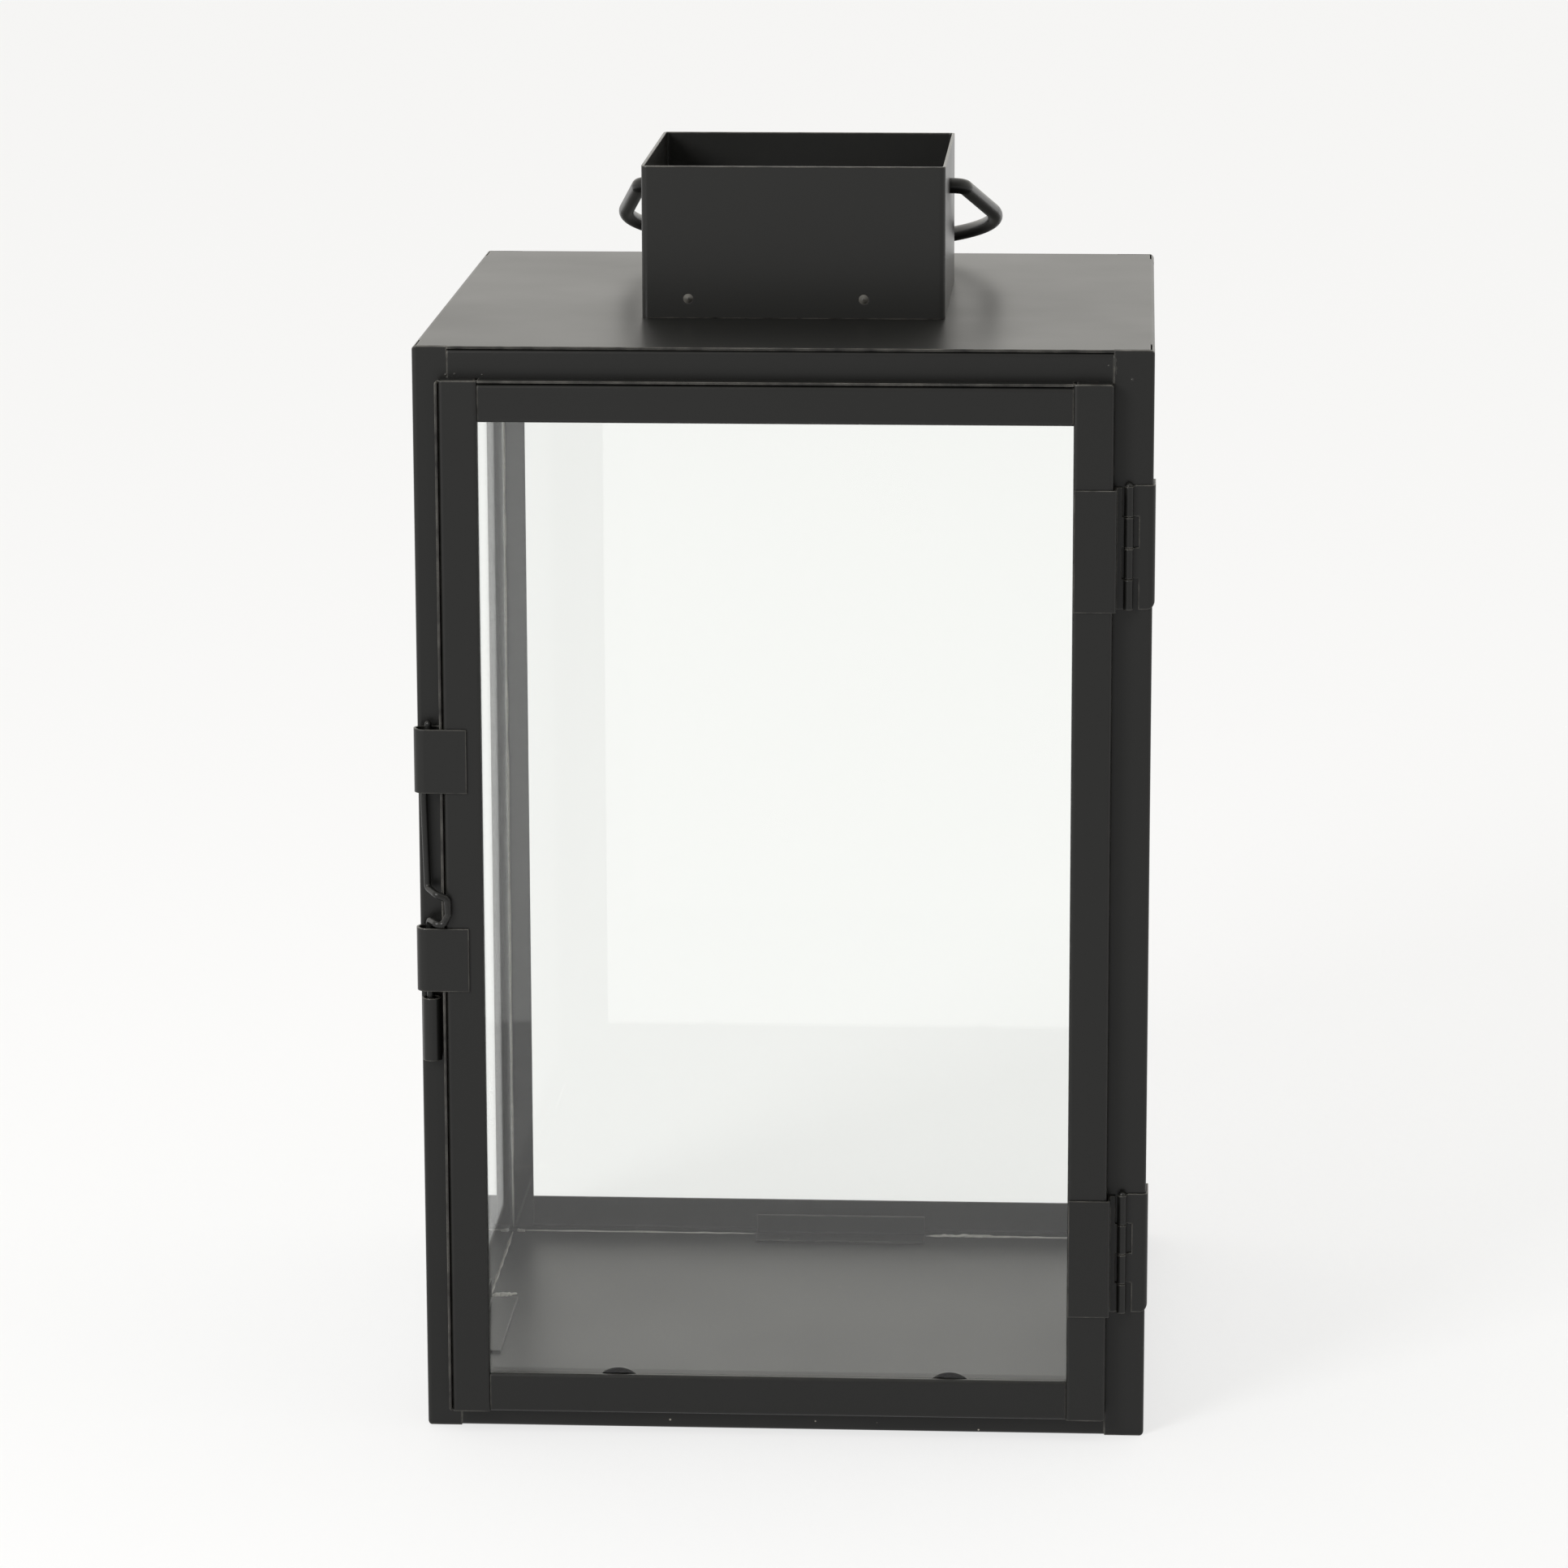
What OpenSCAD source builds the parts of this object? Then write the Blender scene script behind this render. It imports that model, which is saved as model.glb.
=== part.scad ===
// Lantern with a glazed door, a square chimney and a folding bail.
// Millimetres, +Z up. The origin is the middle of the underside of the base tray.
// The door is at the front (-Y), its hinges on the right (+X) and its bolt on the left.

/* [Body] */
// Width of the body across the front
body_w = 220; // [180:1:280]
// Depth of the body without the door
body_d = 214; // [170:1:280]
// Height of the body, from the floor to the top of the roof sheet
body_h = 335; // [270:1:460]
// Thickness of the folded steel sheet
sheet = 0.8; // [0.6:0.1:1.2]
// Outer radius of every fold and of the body's rounded corners
fold_r = 1.3; // [1.3:0.1:2]
// Width of the left front post's flange
post_left = 10.5; // [9:0.5:14]
// Width of the right front post's flange
post_right = 12; // [10:0.5:14]
// Width of every other post flange
post_side = 12; // [9:0.5:16]
// Height of the top rails
top_rail_h = 12; // [10:0.5:16]
// Width of the top rails' legs under the roof
rail_leg = 8; // [5:0.5:12]
// Height of the base tray's folded sides
tray_h = 11; // [8:0.5:16]

/* [Glass] */
// Thickness of every pane
glass_t = 3; // [2:0.5:4]
// Gap between a side pane and the sheet of the side
pane_side_gap = 1.9; // [0:0.1:4]
// Gap between the rear pane and the sheet of the rear
pane_rear_gap = 4.9; // [0:0.1:6]
// Length of the clips at the foot of the fixed panes
clip_l = 57; // [30:1:80]
// Width of a clip's foot on the floor
clip_foot = 9.5; // [6:0.5:14]
// Height of a clip's lip against the pane
clip_h = 7; // [5:0.5:12]

/* [Chimney] */
// Outer width of the square chimney
chimney_w = 92.6; // [70:0.2:120]
// Height of the chimney above the roof
chimney_h = 46.5; // [36:0.5:60]
// Outer corner radius of the chimney
chimney_r = 1.8; // [1.3:0.1:4]
// Side length of the vent that the roof has under the chimney
vent_w = 84; // [60:1:110]
// Length of the two roof tabs that hold the chimney
vent_tab_l = 74; // [40:1:90]
// Height of those tabs above the roof
vent_tab_h = 12; // [6:0.5:20]

/* [Door] */
// Gap from the body's left edge to the door
door_gap_left = 7.4; // [6:0.1:9]
// Gap from the body's right edge to the door
door_gap_right = 11.9; // [11:0.1:14]
// Gap from the door's top to the body's top
door_gap_top = 9.4; // [8.5:0.1:14]
// Gap from the floor to the door's bottom
door_gap_bottom = 6.5; // [3:0.1:9]
// Depth of the door's frame
door_t = 6.2; // [5.6:0.1:8]
// Air gap between the door and the body behind it
door_air = 0.3; // [0.3:0.1:1]
// Width of the left stile
stile_left = 12.6; // [10:0.1:18]
// Width of the right stile
stile_right = 11.8; // [10:0.1:18]
// Height of the door's top rail
door_rail_top = 12.5; // [10:0.1:18]
// Height of the door's bottom rail
door_rail_bottom = 12.1; // [10:0.1:18]
// Setback of the door's rails behind the stiles
rail_setback = 0.6; // [0:0.1:1]
// Width of the lip along the outer edge of the left stile and the door's top rail
lip_w = 0.7; // [0.6:0.1:1.4]
// Width of the groove beside that lip
groove_w = 0.4; // [0.2:0.05:0.6]
// Depth of that groove
groove_d = 2.5; // [1:0.1:3]
// Width of the leg behind the door glass
back_leg = 5.5; // [4:0.1:8]
// Radius of the half-round tongues behind the door glass
tongue_r = 8; // [7:0.5:10]
// Distance between the two tongues
tongue_pitch = 101.4; // [60:0.2:140]

/* [Hinges] */
// Distance of the hinge axis from the body's right edge
hinge_in = 7.2; // [6.5:0.1:8]
// Distance of the hinge axis in front of the body
hinge_out = 1.7; // [1.7:0.1:2.5]
// Height of one knuckle
knuckle_h = 9.35; // [7.5:0.05:11.5]
// Thickness of the hinge sheet
hinge_t = 0.7; // [0.5:0.1:0.8]
// Radius of the hinge pin
pin_r = 0.65; // [0.5:0.05:0.8]
// Radial clearance of the pin in the door's knuckles
pin_play = 0.05; // [0.03:0.01:0.1]
// Gap between neighbouring knuckles
knuckle_gap = 0.3; // [0.3:0.05:0.5]
// Height of the lower hinge above the door's bottom
hinge_low = 33.2; // [20:0.1:60]
// Distance of the upper hinge below the door's top
hinge_high = 30.7; // [20:0.1:60]
// Length of the post leaf along the body's side
leaf_side = 11; // [6:0.5:20]
// Radius of the domed head of the hinge pin
pin_head_r = 1.1; // [0.9:0.05:1.3]

/* [Latch] */
// Radius of the bolt's wire
bolt_r = 1.05; // [0.8:0.05:1.2]
// Distance of the bolt left of the door
bolt_out = 4.2; // [4:0.1:4.6]
// Distance of the bolt's axis in front of the body
bolt_front = 3; // [2.8:0.1:3.3]
// Height of the lower strap's bottom edge
strap_z = 139.5; // [110:0.5:160]
// Distance from the lower strap to the upper one
strap_pitch = 61.3; // [58:0.1:75]
// Height of each strap
strap_h = 19.5; // [14:0.1:24]
// Length of the flat of the strap on the stile
strap_flat = 8.1; // [6:0.1:10]
// Outer diameter of the keeper tube
keeper_d = 5.8; // [4.8:0.1:7]
// Length of the keeper tube
keeper_l = 19.5; // [12:0.1:26]
// Gap between the keeper and the strap above it
keeper_gap = 2.7; // [1:0.1:5]
// Depth of the lowered bolt in the keeper
bolt_tail = 14.5; // [10:0.5:17]

/* [Bail] */
// Radius of the bail's wire
bail_r = 2.4; // [1.8:0.1:3]
// Distance of the bail's pivot below the chimney's rim
bail_drop = 11.2; // [8:0.1:16]
// Radial clearance of the bail in the chimney's holes
bail_play = 0.1; // [0.05:0.01:0.1]
// Distance of the foot of each leg outside the chimney wall
bail_side = 4; // [3.8:0.1:8]
// Centreline radius of the bend at the foot of each leg
bail_bend = 4; // [3.6:0.1:5]
// Outward slope of the legs, in degrees
bail_flare = 9.6; // [4:0.1:14]
// Length of the straight part of each leg, up to the arch
bail_leg = 44; // [20:0.5:60]
// Gap between the folded bail and the roof's level
bail_rest_gap = 0.3; // [0.3:0.1:2]

/* [Hidden] */
$fn = 64;

// Overlap that joins two solids of one piece
eps = 0.01;
// A straight length of wire ends this far inside a bend, which is thicker by swell
joint = 0.04;
swell = 0.01;
// A cutting shape reaches this far past what it cuts
cut = 1;

// Planes of the body
x_left = -body_w / 2;
x_right = body_w / 2;
y_front = -body_d / 2;
y_rear = body_d / 2;
fold_in = fold_r - sheet;
roof_z = body_h - sheet;

// Planes of the door
door_x0 = x_left + door_gap_left;
door_x1 = x_right - door_gap_right;
door_z0 = door_gap_bottom;
door_z1 = body_h - door_gap_top;
door_back = y_front - door_air;
door_front = door_back - door_t;
glass_x0 = door_x0 + stile_left;
glass_x1 = door_x1 - stile_right;
// Outer radius of the folds of the door's members
edge_r = 1;

// Hinges
hinge_x = x_right - hinge_in;
hinge_y = y_front - hinge_out;
knuckle_r = pin_r + pin_play + hinge_t;
knuckles = 4;
hinge_h = knuckles * knuckle_h;
hinge_z_lower = door_z0 + hinge_low;
hinge_z_upper = door_z1 - hinge_high - hinge_h;
leaf_gap = 0.4;
leaf_lead = 0.3;
web_gap = 0.6;
notch_depth = 1.1;

// Latch
bolt_x = door_x0 - bolt_out;
bolt_y = y_front - bolt_front;
strap_front = door_front - sheet;
strap_depth = y_front - door_air - strap_front;
strap_r = strap_depth / 2;
keeper_top = strap_z - keeper_gap;

// Chimney and bail
chimney_in = chimney_w / 2 - sheet;
bail_z = body_h + chimney_h - bail_drop;
bail_x = chimney_w / 2 + bail_side;
leg_dir = [sin(bail_flare), cos(bail_flare)];
bend_run = bail_bend * tan((90 - bail_flare) / 2);
leg_end = [bail_x, 0] + (bend_run + bail_leg) * leg_dir;
arch_r = leg_end[0] / cos(bail_flare);
arch_y = leg_end[1] + arch_r * sin(bail_flare);
bail_reach = arch_y + arch_r;
bail_rest = asin((bail_z - body_h - bail_r - bail_rest_gap) / bail_reach);

// ---- shared shapes ----

// A rectangle with four round corners, centred
module round_rect(w, d, r) {
  square([w - 2 * r, d], center = true);
  square([w, d - 2 * r], center = true);
  for (i = [-1, 1], j = [-1, 1])
    translate([i * (w / 2 - r), j * (d / 2 - r)]) circle(r);
}

// Section of an angle: its corner at the origin, its legs along +X and +Y
module angle_section(leg_x, leg_y, t = sheet, r = fold_r) {
  translate([r, 0]) square([leg_x - r, t]);
  translate([0, r]) square([t, leg_y - r]);
  intersection() {
    square([r + eps, r + eps]);
    translate([r, r]) difference() {
      circle(r);
      circle(r - t);
    }
  }
}

// Extrudes a section drawn in Y and Z along +X
module along_x(length) {
  rotate([90, 0, 90]) linear_extrude(length) children();
}

// Extrudes a section drawn in X and Z along +Y
module along_y(length) {
  mirror([0, 1, 0]) rotate([90, 0, 0]) linear_extrude(length) children();
}

// Places a shape with its Z axis along the direction from a to b
module aim(a, b) {
  d = b - a;
  translate(a)
    rotate([0, acos(d[2] / norm(d)), atan2(d[1], d[0])])
    children();
}

function unit(v) = v / norm(v);

// Angle between the two runs of wire that meet at point i
function turn(p, i) =
  acos(min(1, max(-1, unit(p[i] - p[i - 1]) * unit(p[i + 1] - p[i]))));

// Length that the bend at point i takes from each of its two runs
function trim(p, i, bend) =
  i == 0 || i == len(p) - 1 ? 0 : bend * tan(turn(p, i) / 2);

// Round wire along the points p, bent at each one with the same centreline radius
module wire(p, r, bend) {
  for (i = [0 : len(p) - 2]) {
    dir = unit(p[i + 1] - p[i]);
    a = p[i] + dir * trim(p, i, bend);
    b = p[i + 1] - dir * trim(p, i + 1, bend);
    aim(a - dir * joint, b + dir * joint)
      cylinder(r = r, h = norm(b - a) + 2 * joint);
  }
  for (i = [1 : len(p) - 2])
    wire_bend(p[i - 1], p[i], p[i + 1], r, bend);
}

// One bend of the wire at q, between the runs from a and to b
module wire_bend(a, q, b, r, bend) {
  u = unit(q - a);
  v = unit(b - q);
  angle = acos(u * v);
  // Frame of the bend: the way to its centre, the incoming run and the bend's axis
  out = unit(v - (u * v) * u);
  axis = cross(out, u);
  start = q - u * bend * tan(angle / 2);
  centre = start + out * bend;
  multmatrix([
    [-out[0], u[0], -axis[0], centre[0]],
    [-out[1], u[1], -axis[1], centre[1]],
    [-out[2], u[2], -axis[2], centre[2]],
    [0, 0, 0, 1]
  ])
    rotate_extrude(angle = angle) translate([bend, 0]) circle(r + swell);
}

// ---- body ----

// Outline of the body seen from the front: it rounds the ends of the posts and the
// roof's two folded edges
module front_outline() {
  translate([0, y_front - cut, 0])
    along_y(body_d + 2 * cut)
    translate([0, body_h / 2])
    round_rect(body_w, body_h, fold_r);
}

// A corner post: side_x and side_y are -1 or 1, flange is its width seen from Y
module post(side_x, side_y, flange) {
  color([0.18, 0.18, 0.18])
    intersection() {
      translate([side_x * body_w / 2, side_y * body_d / 2, 0])
        mirror([side_x > 0 ? 1 : 0, 0, 0])
        mirror([0, side_y > 0 ? 1 : 0, 0])
        linear_extrude(body_h)
        angle_section(flange, post_side);
      front_outline();
    }
}

// A top rail of the given length, its outer face at y = 0 and its top under the roof
module top_rail(length) {
  color([0.18, 0.18, 0.18])
    translate([0, 0, roof_z])
    along_x(length)
    mirror([0, 1])
    angle_section(rail_leg, top_rail_h);
}

module top_rail_front() {
  translate([x_left + post_left, y_front, 0])
    top_rail(body_w - post_left - post_right);
}

module top_rail_rear() {
  translate([x_right - post_side, y_rear, 0])
    rotate([0, 0, 180])
    top_rail(body_w - 2 * post_side);
}

module top_rail_left() {
  translate([x_left, y_rear - post_side, 0])
    rotate([0, 0, -90])
    top_rail(body_d - 2 * post_side);
}

module top_rail_right() {
  translate([x_right, y_front + post_side, 0])
    rotate([0, 0, 90])
    top_rail(body_d - 2 * post_side);
}

// One folded side of the base tray, with its outer face at y = 0
module tray_side(length) {
  along_x(length)
    angle_section(rail_leg, tray_h);
}

// The floor and its four folded sides, which stand between the posts
module base_tray() {
  color([0.2, 0.2, 0.2]) {
    translate([x_left + fold_r, y_front + fold_r, 0])
      cube([body_w - 2 * fold_r, body_d - 2 * fold_r, sheet]);
    translate([x_left + post_left, y_front, 0])
      tray_side(body_w - post_left - post_right);
    translate([x_right - post_side, y_rear, 0])
      rotate([0, 0, 180])
      tray_side(body_w - 2 * post_side);
    translate([x_left, y_rear - post_side, 0])
      rotate([0, 0, -90])
      tray_side(body_d - 2 * post_side);
    translate([x_right, y_front + post_side, 0])
      rotate([0, 0, 90])
      tray_side(body_d - 2 * post_side);
  }
}

// The roof sheet lies on the rails between the posts; two tabs stand in the chimney
module roof_plate() {
  color([0.2, 0.2, 0.2]) {
    intersection() {
      translate([0, 0, roof_z])
        linear_extrude(sheet)
        difference() {
          union() {
            square([body_w - 2 * fold_r, body_d - 2 * fold_r], center = true);
            square([body_w, body_d - 2 * post_side], center = true);
            translate([x_left + post_left, y_front])
              square([body_w - post_left - post_right, body_d / 2]);
            translate([x_left + post_side, 0])
              square([body_w - 2 * post_side, body_d / 2]);
          }
          square([vent_w, 2 * (chimney_in - sheet)], center = true);
        }
      front_outline();
    }
    for (side = [0, 180])
      rotate([0, 0, side])
        translate([-vent_tab_l / 2, -chimney_in, roof_z])
        cube([vent_tab_l, sheet, sheet + vent_tab_h]);
  }
}

// Square tube with the bail's two holes and the dents of two spot welds
module chimney() {
  dent_r = 4;
  dent_d = 0.3;
  dent_z = 6;
  dent_x = [-32.2, 21.5];
  color([0.18, 0.18, 0.18])
    difference() {
      translate([0, 0, body_h])
        linear_extrude(chimney_h)
        difference() {
          round_rect(chimney_w, chimney_w, chimney_r);
          round_rect(chimney_w - 2 * sheet, chimney_w - 2 * sheet, chimney_r - sheet);
        }
      for (side = [-1, 1])
        translate([side * (chimney_in - cut), 0, bail_z])
          rotate([0, side * 90, 0])
          cylinder(r = bail_r + bail_play, h = sheet + 2 * cut);
      for (x = dent_x)
        translate([x, -chimney_w / 2 - dent_r + dent_d, body_h + dent_z])
          sphere(dent_r);
    }
}

// ---- fixed glass ----

// The panes stand on the floor and reach the legs of the top rails
pane_z0 = sheet;
pane_z1 = roof_z - sheet;
pane_air = 0.4;
// Inner faces of the panes
pane_side_x = x_left + sheet + pane_side_gap + glass_t;
pane_rear_y = y_rear - sheet - pane_rear_gap - glass_t;
pane_side_y0 = y_front + fold_r + pane_air;
pane_side_y1 = pane_rear_y - pane_air;

module side_pane() {
  color([0.8, 0.85, 0.85, 0.35])
    translate([pane_side_x - glass_t, pane_side_y0, pane_z0])
    cube([glass_t, pane_side_y1 - pane_side_y0, pane_z1 - pane_z0]);
}

module glass_left() {
  side_pane();
}

module glass_right() {
  mirror([1, 0, 0]) side_pane();
}

module glass_rear() {
  color([0.8, 0.85, 0.85, 0.35])
    translate([x_left + fold_r, pane_rear_y, pane_z0])
    cube([body_w - 2 * fold_r, glass_t, pane_z1 - pane_z0]);
}

// A bent clip: its lip stands against a pane at y = 0, its foot lies on the floor
module clip() {
  color([0.2, 0.2, 0.2])
    translate([-clip_l / 2, 0, sheet])
    along_x(clip_l)
    angle_section(clip_foot, clip_h);
}

// Places of the clips along the side panes and along the rear pane
clip_side_y = -8;
clip_rear_x = 7.4;

module clip_left() {
  translate([pane_side_x, clip_side_y, 0])
    rotate([0, 0, -90])
    clip();
}

module clip_right() {
  translate([-pane_side_x, clip_side_y, 0])
    rotate([0, 0, 90])
    clip();
}

module clip_rear() {
  translate([clip_rear_x, pane_rear_y, 0])
    rotate([0, 0, 180])
    clip();
}

// ---- door ----

// Section of a door member: x runs from its outer edge to the glass, y from its back
// to its front. Its front fold ends on the glass, and its back leg stands behind it.
module door_section(w, depth, lip, groove) {
  front = lip + groove;
  square([front + sheet, depth - groove_d]);
  if (lip > 0)
    square([lip, depth]);
  translate([front, 0]) square([sheet, depth - edge_r]);
  translate([front + edge_r, depth - sheet]) square([w - front - 2 * edge_r, sheet]);
  translate([w - sheet, sheet + glass_t])
    square([sheet, depth - edge_r - sheet - glass_t]);
  for (side = [0, 1])
    translate([side == 0 ? front + edge_r : w - edge_r, depth - edge_r])
      intersection() {
        difference() {
          circle(edge_r);
          circle(edge_r - sheet);
        }
        translate([side == 0 ? -edge_r - eps : -eps, -eps])
          square(edge_r + 2 * eps);
      }
  square([back_leg, sheet]);
}

// Upright door member of the given width, from its outer edge at x = 0 towards +X,
// with closed ends and round outer corners
module door_stile(w, lip, groove) {
  height = door_z1 - door_z0;
  color([0.18, 0.18, 0.18])
    translate([0, door_back, door_z0])
    mirror([0, 1, 0])
    intersection() {
      union() {
        linear_extrude(height) door_section(w, door_t, lip, groove);
        for (z = [0, height - sheet])
          translate([0, 0, z])
            cube([w - edge_r, door_t - edge_r, sheet]);
      }
      translate([0, -cut, 0])
        along_y(door_t + 2 * cut)
        translate([w, height / 2])
        round_rect(2 * w, height, edge_r);
    }
}

module door_stile_left() {
  translate([door_x0, 0, 0])
    door_stile(stile_left, lip_w, groove_w);
}

module door_stile_right() {
  translate([door_x1, 0, 0])
    mirror([1, 0, 0])
    door_stile(stile_right, 0, 0);
}

// Level door member between the stiles, its outer edge at z = 0 and its glass side up
module door_rail(w, lip, groove) {
  color([0.18, 0.18, 0.18])
    translate([glass_x0, door_back, 0])
    along_x(glass_x1 - glass_x0)
    mirror([1, 0])
    rotate(90)
    mirror([0, 1])
    door_section(w, door_t - rail_setback, lip, groove);
}

module door_rail_top_bar() {
  translate([0, 0, door_z1])
    mirror([0, 0, 1])
    door_rail(door_rail_top, lip_w, groove_w);
}

module door_rail_bottom_bar() {
  translate([0, 0, door_z0]) door_rail(door_rail_bottom, 0, 0);
  color([0.18, 0.18, 0.18])
    for (side = [-1, 1])
      translate([side * tongue_pitch / 2, door_back - sheet, door_z0 + back_leg])
        along_y(sheet)
        intersection() {
          circle(tongue_r);
          translate([-tongue_r, -eps]) square([2 * tongue_r, 2 * tongue_r]);
        }
}

module door_glass() {
  inset = 3;
  color([0.8, 0.85, 0.85, 0.35])
    translate([door_x0 + inset, door_back - sheet - glass_t, door_z0 + inset])
    cube([door_x1 - door_x0 - 2 * inset, glass_t, door_z1 - door_z0 - 2 * inset]);
}

// ---- hinges ----

// Height range of knuckle k, counted from the bottom, without half the gap at each end
function knuckle_z(k) = k * knuckle_h + knuckle_gap / 2;
knuckle_l = knuckle_h - knuckle_gap;

// Leaf on the post: knuckles 1 and 3, the front strip and the leg round the corner
module post_leaf(z) {
  corner = [x_right - fold_r, y_front + fold_r];
  strip_gap = 0.5;
  strip_x0 = hinge_x + knuckle_r + strip_gap;
  leaf_r = fold_r + hinge_t;
  drop_r = 2.5;
  color([0.16, 0.16, 0.16])
    translate([0, 0, z])
    difference() {
      union() {
        translate([strip_x0, y_front - hinge_t, 0])
          cube([corner[0] - strip_x0, hinge_t, hinge_h]);
        translate([x_right, corner[1], 0])
          cube([hinge_t, leaf_side - fold_r, hinge_h]);
        translate([corner[0], corner[1], 0])
          linear_extrude(hinge_h)
          intersection() {
            difference() {
              circle(leaf_r);
              circle(fold_r);
            }
            translate([-eps, -leaf_r - eps]) square(leaf_r + 2 * eps);
          }
        for (k = [1, 3])
          translate([hinge_x, 0, knuckle_z(k)]) {
            translate([0, hinge_y, 0]) cylinder(r = knuckle_r, h = knuckle_l);
            translate([0, y_front - hinge_t, 0])
              cube([strip_x0 - hinge_x + eps, hinge_t, knuckle_l]);
          }
      }
      // Pin bore, a tight fit in the fixed knuckles
      translate([hinge_x, hinge_y, -cut]) cylinder(r = pin_r, h = hinge_h + 2 * cut);
      // Notches that let the door's knuckles turn
      for (k = [0, 2])
        translate([strip_x0 - cut, y_front - hinge_t - cut, k * knuckle_h - (k == 0 ? cut : 0)])
          cube([cut + notch_depth, hinge_t + 2 * cut, knuckle_h + (k == 0 ? cut : 0)]);
      // Round lower outer corner
      translate([x_right + hinge_t - drop_r, y_front - hinge_t - cut, 0])
        along_y(leaf_side + hinge_t + 2 * cut)
        difference() {
          translate([0, -cut]) square([drop_r + cut, drop_r + cut]);
          translate([0, drop_r]) circle(drop_r);
        }
    }
}

module post_leaf_lower() {
  post_leaf(hinge_z_lower);
}

module post_leaf_upper() {
  post_leaf(hinge_z_upper);
}

// Leaf on the door: knuckles 0 and 2, a web, the wall beside the stile and the front
module door_leaf(z) {
  wall_x = door_x1 + leaf_gap;
  web_end = hinge_x - knuckle_r - web_gap;
  back_y = hinge_y + knuckle_r;
  front_y = door_front - hinge_t;
  plate_x0 = glass_x1 + leaf_lead;
  color([0.16, 0.16, 0.16])
    translate([0, 0, z])
    difference() {
      union() {
        translate([plate_x0, front_y, 0])
          cube([wall_x + hinge_t - edge_r - plate_x0, hinge_t, hinge_h - hinge_t]);
        translate([wall_x, front_y + edge_r, 0])
          cube([hinge_t, back_y - front_y - edge_r, hinge_h - hinge_t]);
        translate([wall_x + hinge_t - edge_r, front_y + edge_r, 0])
          linear_extrude(hinge_h - hinge_t)
          intersection() {
            difference() {
              circle(edge_r);
              circle(edge_r - hinge_t);
            }
            translate([-eps, -edge_r - eps]) square(edge_r + 2 * eps);
          }
        translate([wall_x, back_y - hinge_t, 0])
          cube([web_end - wall_x, hinge_t, hinge_h - hinge_t]);
        for (k = [0, 2])
          translate([0, 0, knuckle_z(k)]) {
            translate([hinge_x, hinge_y, 0]) cylinder(r = knuckle_r, h = knuckle_l);
            translate([web_end - eps, back_y - hinge_t, 0])
              cube([hinge_x - web_end + eps, hinge_t, knuckle_l]);
          }
      }
      // Running bore of the door's knuckles
      translate([hinge_x, hinge_y, -cut])
        cylinder(r = pin_r + pin_play, h = hinge_h + 2 * cut);
    }
}

module door_leaf_lower() {
  door_leaf(hinge_z_lower);
}

module door_leaf_upper() {
  door_leaf(hinge_z_upper);
}

// Pin through the four knuckles; its domed head rests on the top one
module hinge_pin(z) {
  color([0.16, 0.16, 0.16])
    translate([hinge_x, hinge_y, z]) {
      cylinder(r = pin_r, h = hinge_h);
      translate([0, 0, hinge_h - knuckle_gap / 2])
        intersection() {
          sphere(pin_head_r);
          translate([-pin_head_r - cut, -pin_head_r - cut, 0])
            cube(2 * (pin_head_r + cut));
        }
    }
}

module hinge_pin_lower() {
  hinge_pin(hinge_z_lower);
}

module hinge_pin_upper() {
  hinge_pin(hinge_z_upper);
}

// ---- latch ----

// Strap of sheet: flat on the stile, rolled round the bolt and back to the stile's side
module strap(z) {
  roll_shift = -0.3;
  roll_x = bolt_x + roll_shift;
  roll_y = strap_front + strap_r;
  color([0.19, 0.19, 0.19])
    translate([0, 0, z])
    linear_extrude(strap_h) {
      translate([roll_x, strap_front])
        square([door_x0 + strap_flat - roll_x, sheet]);
      translate([roll_x, strap_front + strap_depth - sheet])
        square([door_x0 - roll_x, sheet]);
      translate([roll_x, roll_y])
        difference() {
          circle(strap_r);
          circle(strap_r - sheet);
          translate([eps, -strap_r - cut]) square([strap_r + cut, 2 * (strap_r + cut)]);
        }
    }
}

module strap_lower() {
  strap(strap_z);
}

module strap_upper() {
  strap(strap_z + strap_pitch);
}

// Tube on the post that the lowered bolt stands in
module keeper() {
  keeper_shift = 0.4;
  color([0.18, 0.18, 0.18])
    translate([bolt_x + keeper_shift, y_front - keeper_d / 2, keeper_top - keeper_l])
    difference() {
      cylinder(d = keeper_d, h = keeper_l);
      translate([0, 0, -cut])
        cylinder(d = keeper_d - 2 * sheet, h = keeper_l + 2 * cut);
    }
}

// Wire bolt with a finger hook that stands in front of the stile. Its route clears the
// stile's edge: it comes forward beside the door before it turns in front of it.
module latch_bolt() {
  hook_air = 0.6;
  hook_rest = 0.4;
  head_out = 0.9;
  hook_y = door_front - hook_air - bolt_r;
  hook_z = strap_z + strap_h + hook_rest + bolt_r;
  top = [bolt_x + 0.5, bolt_y, strap_z + strap_pitch + strap_h + head_out];
  color([0.16, 0.16, 0.16]) {
    wire([
      top,
      [bolt_x - 1.1, bolt_y, strap_z + strap_pitch - 2.4],
      [bolt_x - 0.4, bolt_y, hook_z + 10.4],
      [bolt_x + 2.8, hook_y, hook_z + 9.4],
      [bolt_x + 6.1, hook_y, hook_z + 8],
      [bolt_x + 6.3, hook_y, hook_z + 3],
      [bolt_x + 4.6, hook_y, hook_z],
      [bolt_x + 2.6, hook_y, hook_z + 0.3],
      [bolt_x, bolt_y, hook_z + 0.4],
      [bolt_x, bolt_y, keeper_top - bolt_tail]
    ], bolt_r, 1.3);
    translate(top) sphere(bolt_r + swell);
  }
}

// ---- bail ----

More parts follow.
